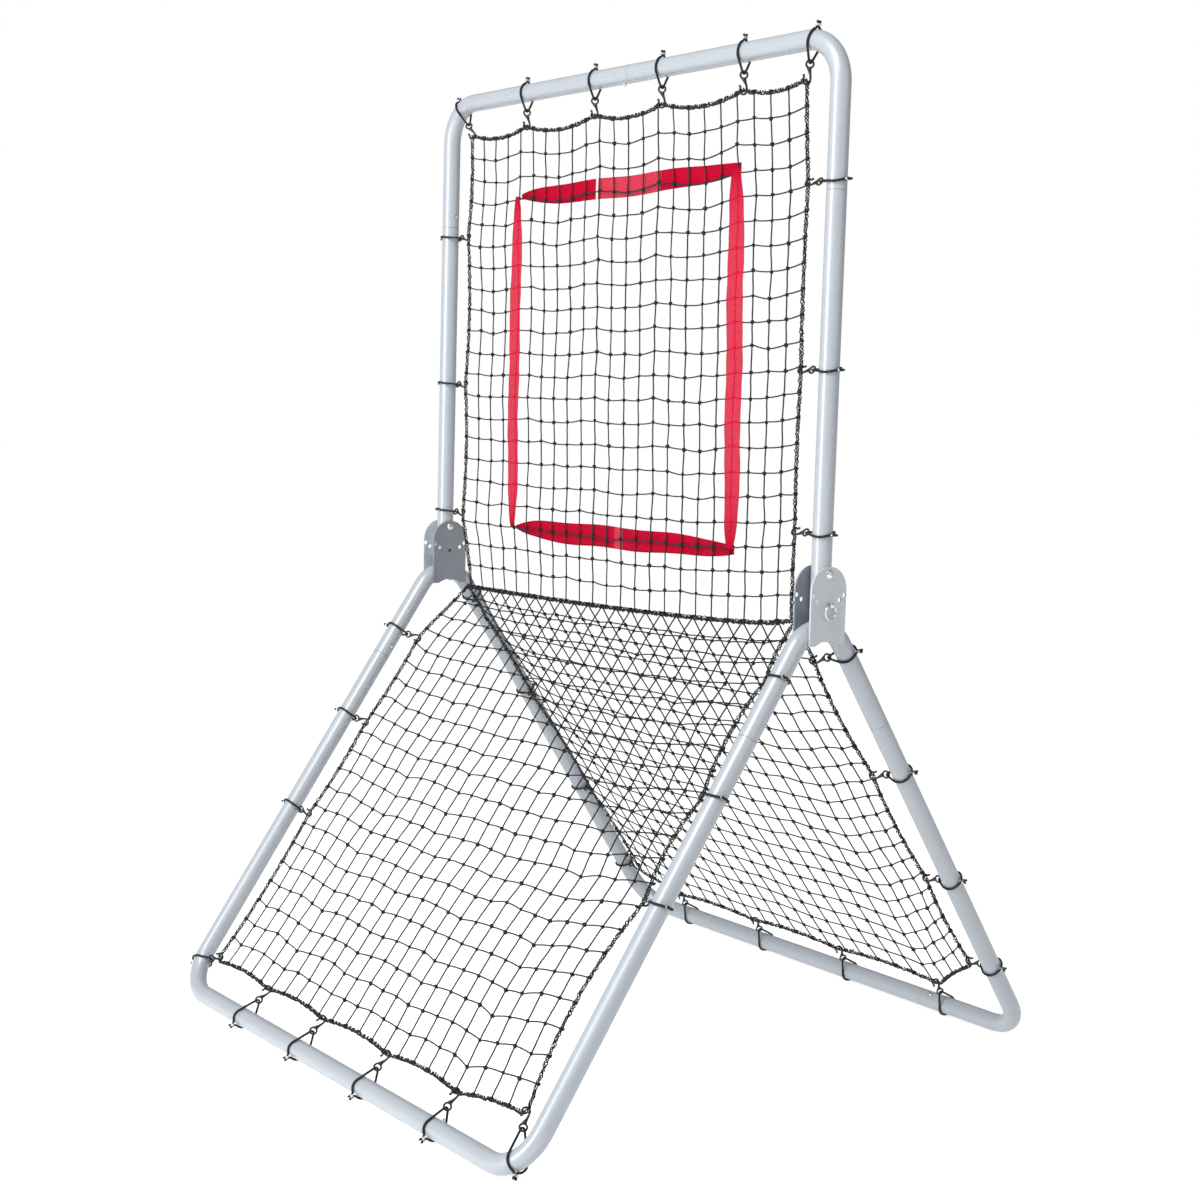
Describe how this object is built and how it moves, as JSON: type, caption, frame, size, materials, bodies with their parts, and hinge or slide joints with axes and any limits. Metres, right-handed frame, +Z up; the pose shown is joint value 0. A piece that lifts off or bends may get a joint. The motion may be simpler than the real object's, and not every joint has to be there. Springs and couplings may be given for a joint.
{
  "type": "baseball rebound net",
  "caption": "Tubular steel A-frame stand with a tilting upper frame, three knotted nets on elastic hooks and a red strike zone.",
  "frame": {"origin": "on the floor, under the middle of the tilting frame's pivot axis", "axes": "+Z up, +X to the thrower's right, +Y from the thrower's side to the rear"},
  "size_m": [1.1246, 1.1786, 1.719],
  "materials": {
    "tube_paint": "silver blue-grey powder coat, satin",
    "plate_paint": "mid grey powder coat, satin",
    "zinc_plate": "yellow zinc plate",
    "bright_steel": "bright nickel plate",
    "net_cord": "black knotted polyester cord",
    "border_rope": "black twisted rope",
    "red_ribbon": "red woven ribbon",
    "elastic_cord": "black braided elastic cord",
    "hook_plastic": "black moulded nylon",
    "crimp_metal": "bright crimped sleeve"
  },
  "bodies": {
    "stand": {"hinge_elbow_left": "tube_paint", "hinge_elbow_right": "tube_paint", "front_leg_left": "tube_paint", "front_leg_right": "tube_paint", "front_foot_bar": "tube_paint", "rear_leg_left": "tube_paint", "rear_leg_right": "tube_paint", "rear_foot_bar": "tube_paint", "bracket_left_outer": "plate_paint", "bracket_left_inner": "plate_paint", "bracket_right_inner": "plate_paint", "bracket_right_outer": "plate_paint", "pivot_bolt_left": "zinc_plate", "pivot_bolt_right": "zinc_plate", "pivot_nuts": "zinc_plate", "pivot_washers": "zinc_plate", "button_springs_stand": "bright_steel", "front_net": "net_cord", "rear_net": "net_cord", "front_net_rope": "border_rope", "rear_net_rope": "border_rope", "hinge_rope": "border_rope", "front_loops": "elastic_cord", "rear_loops": "elastic_cord", "front_hooks": "hook_plastic", "rear_hooks": "hook_plastic", "front_crimps": "crimp_metal", "rear_crimps": "crimp_metal"},
    "upper_frame": {"top_corner_left": "tube_paint", "top_corner_right": "tube_paint", "upright_left": "tube_paint", "upright_right": "tube_paint", "button_springs_upper": "bright_steel", "upper_net": "net_cord", "upper_net_rope": "border_rope", "strike_ribbon_top": "red_ribbon", "strike_ribbon_bottom": "red_ribbon", "strike_ribbon_left": "red_ribbon", "strike_ribbon_right": "red_ribbon", "upper_loops": "elastic_cord", "upper_hooks": "hook_plastic", "upper_crimps": "crimp_metal"},
    "lock_pin_left": {"lock_pin_left": "bright_steel"},
    "lock_pin_right": {"lock_pin_right": "bright_steel"},
    "lock_ring_left": {"lock_ring_left": "bright_steel"},
    "lock_ring_right": {"lock_ring_right": "bright_steel"},
    "snap_button_top_bar": {"snap_button_top_bar": "bright_steel"},
    "snap_button_upright_left": {"snap_button_upright_left": "bright_steel"},
    "snap_button_upright_right": {"snap_button_upright_right": "bright_steel"},
    "snap_button_front_elbow_left": {"snap_button_front_elbow_left": "bright_steel"},
    "snap_button_front_elbow_right": {"snap_button_front_elbow_right": "bright_steel"},
    "snap_button_front_foot_left": {"snap_button_front_foot_left": "bright_steel"},
    "snap_button_front_foot_right": {"snap_button_front_foot_right": "bright_steel"},
    "snap_button_rear_elbow_left": {"snap_button_rear_elbow_left": "bright_steel"},
    "snap_button_rear_elbow_right": {"snap_button_rear_elbow_right": "bright_steel"},
    "snap_button_rear_foot_left": {"snap_button_rear_foot_left": "bright_steel"},
    "snap_button_rear_foot_right": {"snap_button_rear_foot_right": "bright_steel"}
  },
  "joints": [
    {"name": "upper_tilt", "type": "hinge", "parent": "stand", "child": "upper_frame", "pos_m": [0, 0, 0.8659], "axis": [1, 0, 0], "range_deg": [-45, 45]},
    {"name": "left_pin_pull", "type": "slide", "parent": "stand", "child": "lock_pin_left", "axis": [-1, 0, 0], "range_m": [0, 0.042]},
    {"name": "left_ring_swing", "type": "hinge", "parent": "lock_pin_left", "child": "lock_ring_left", "pos_m": [-0.5529, 0, 0.8179], "axis": [0, 1, 0], "range_deg": [-6, 165]},
    {"name": "right_pin_pull", "type": "slide", "parent": "stand", "child": "lock_pin_right", "axis": [1, 0, 0], "range_m": [0, 0.042]},
    {"name": "right_ring_swing", "type": "hinge", "parent": "lock_pin_right", "child": "lock_ring_right", "pos_m": [0.5529, 0, 0.8179], "axis": [0, -1, 0], "range_deg": [-6, 165]},
    {"name": "top_bar_button_press", "type": "slide", "parent": "upper_frame", "child": "snap_button_top_bar", "axis": [0, 0, 1], "range_m": [0, 0.005], "stiffness_N_per_m": 800},
    {"name": "upright_left_button_press", "type": "slide", "parent": "upper_frame", "child": "snap_button_upright_left", "axis": [-1, 0, 0], "range_m": [0, 0.005], "stiffness_N_per_m": 800},
    {"name": "upright_right_button_press", "type": "slide", "parent": "upper_frame", "child": "snap_button_upright_right", "axis": [1, 0, 0], "range_m": [0, 0.005], "stiffness_N_per_m": 800},
    {"name": "front_elbow_left_button_press", "type": "slide", "parent": "stand", "child": "snap_button_front_elbow_left", "axis": [-1, 0, 0], "range_m": [0, 0.005], "stiffness_N_per_m": 800},
    {"name": "front_elbow_right_button_press", "type": "slide", "parent": "stand", "child": "snap_button_front_elbow_right", "axis": [1, 0, 0], "range_m": [0, 0.005], "stiffness_N_per_m": 800},
    {"name": "front_foot_left_button_press", "type": "slide", "parent": "stand", "child": "snap_button_front_foot_left", "axis": [0, -0.5683, -0.8228], "range_m": [0, 0.005], "stiffness_N_per_m": 800},
    {"name": "front_foot_right_button_press", "type": "slide", "parent": "stand", "child": "snap_button_front_foot_right", "axis": [0, -0.5683, -0.8228], "range_m": [0, 0.005], "stiffness_N_per_m": 800},
    {"name": "rear_elbow_left_button_press", "type": "slide", "parent": "stand", "child": "snap_button_rear_elbow_left", "axis": [-1, 0, 0], "range_m": [0, 0.005], "stiffness_N_per_m": 800},
    {"name": "rear_elbow_right_button_press", "type": "slide", "parent": "stand", "child": "snap_button_rear_elbow_right", "axis": [1, 0, 0], "range_m": [0, 0.005], "stiffness_N_per_m": 800},
    {"name": "rear_foot_left_button_press", "type": "slide", "parent": "stand", "child": "snap_button_rear_foot_left", "axis": [0, 0.5683, -0.8228], "range_m": [0, 0.005], "stiffness_N_per_m": 800},
    {"name": "rear_foot_right_button_press", "type": "slide", "parent": "stand", "child": "snap_button_rear_foot_right", "axis": [0, 0.5683, -0.8228], "range_m": [0, 0.005], "stiffness_N_per_m": 800}
  ]
}
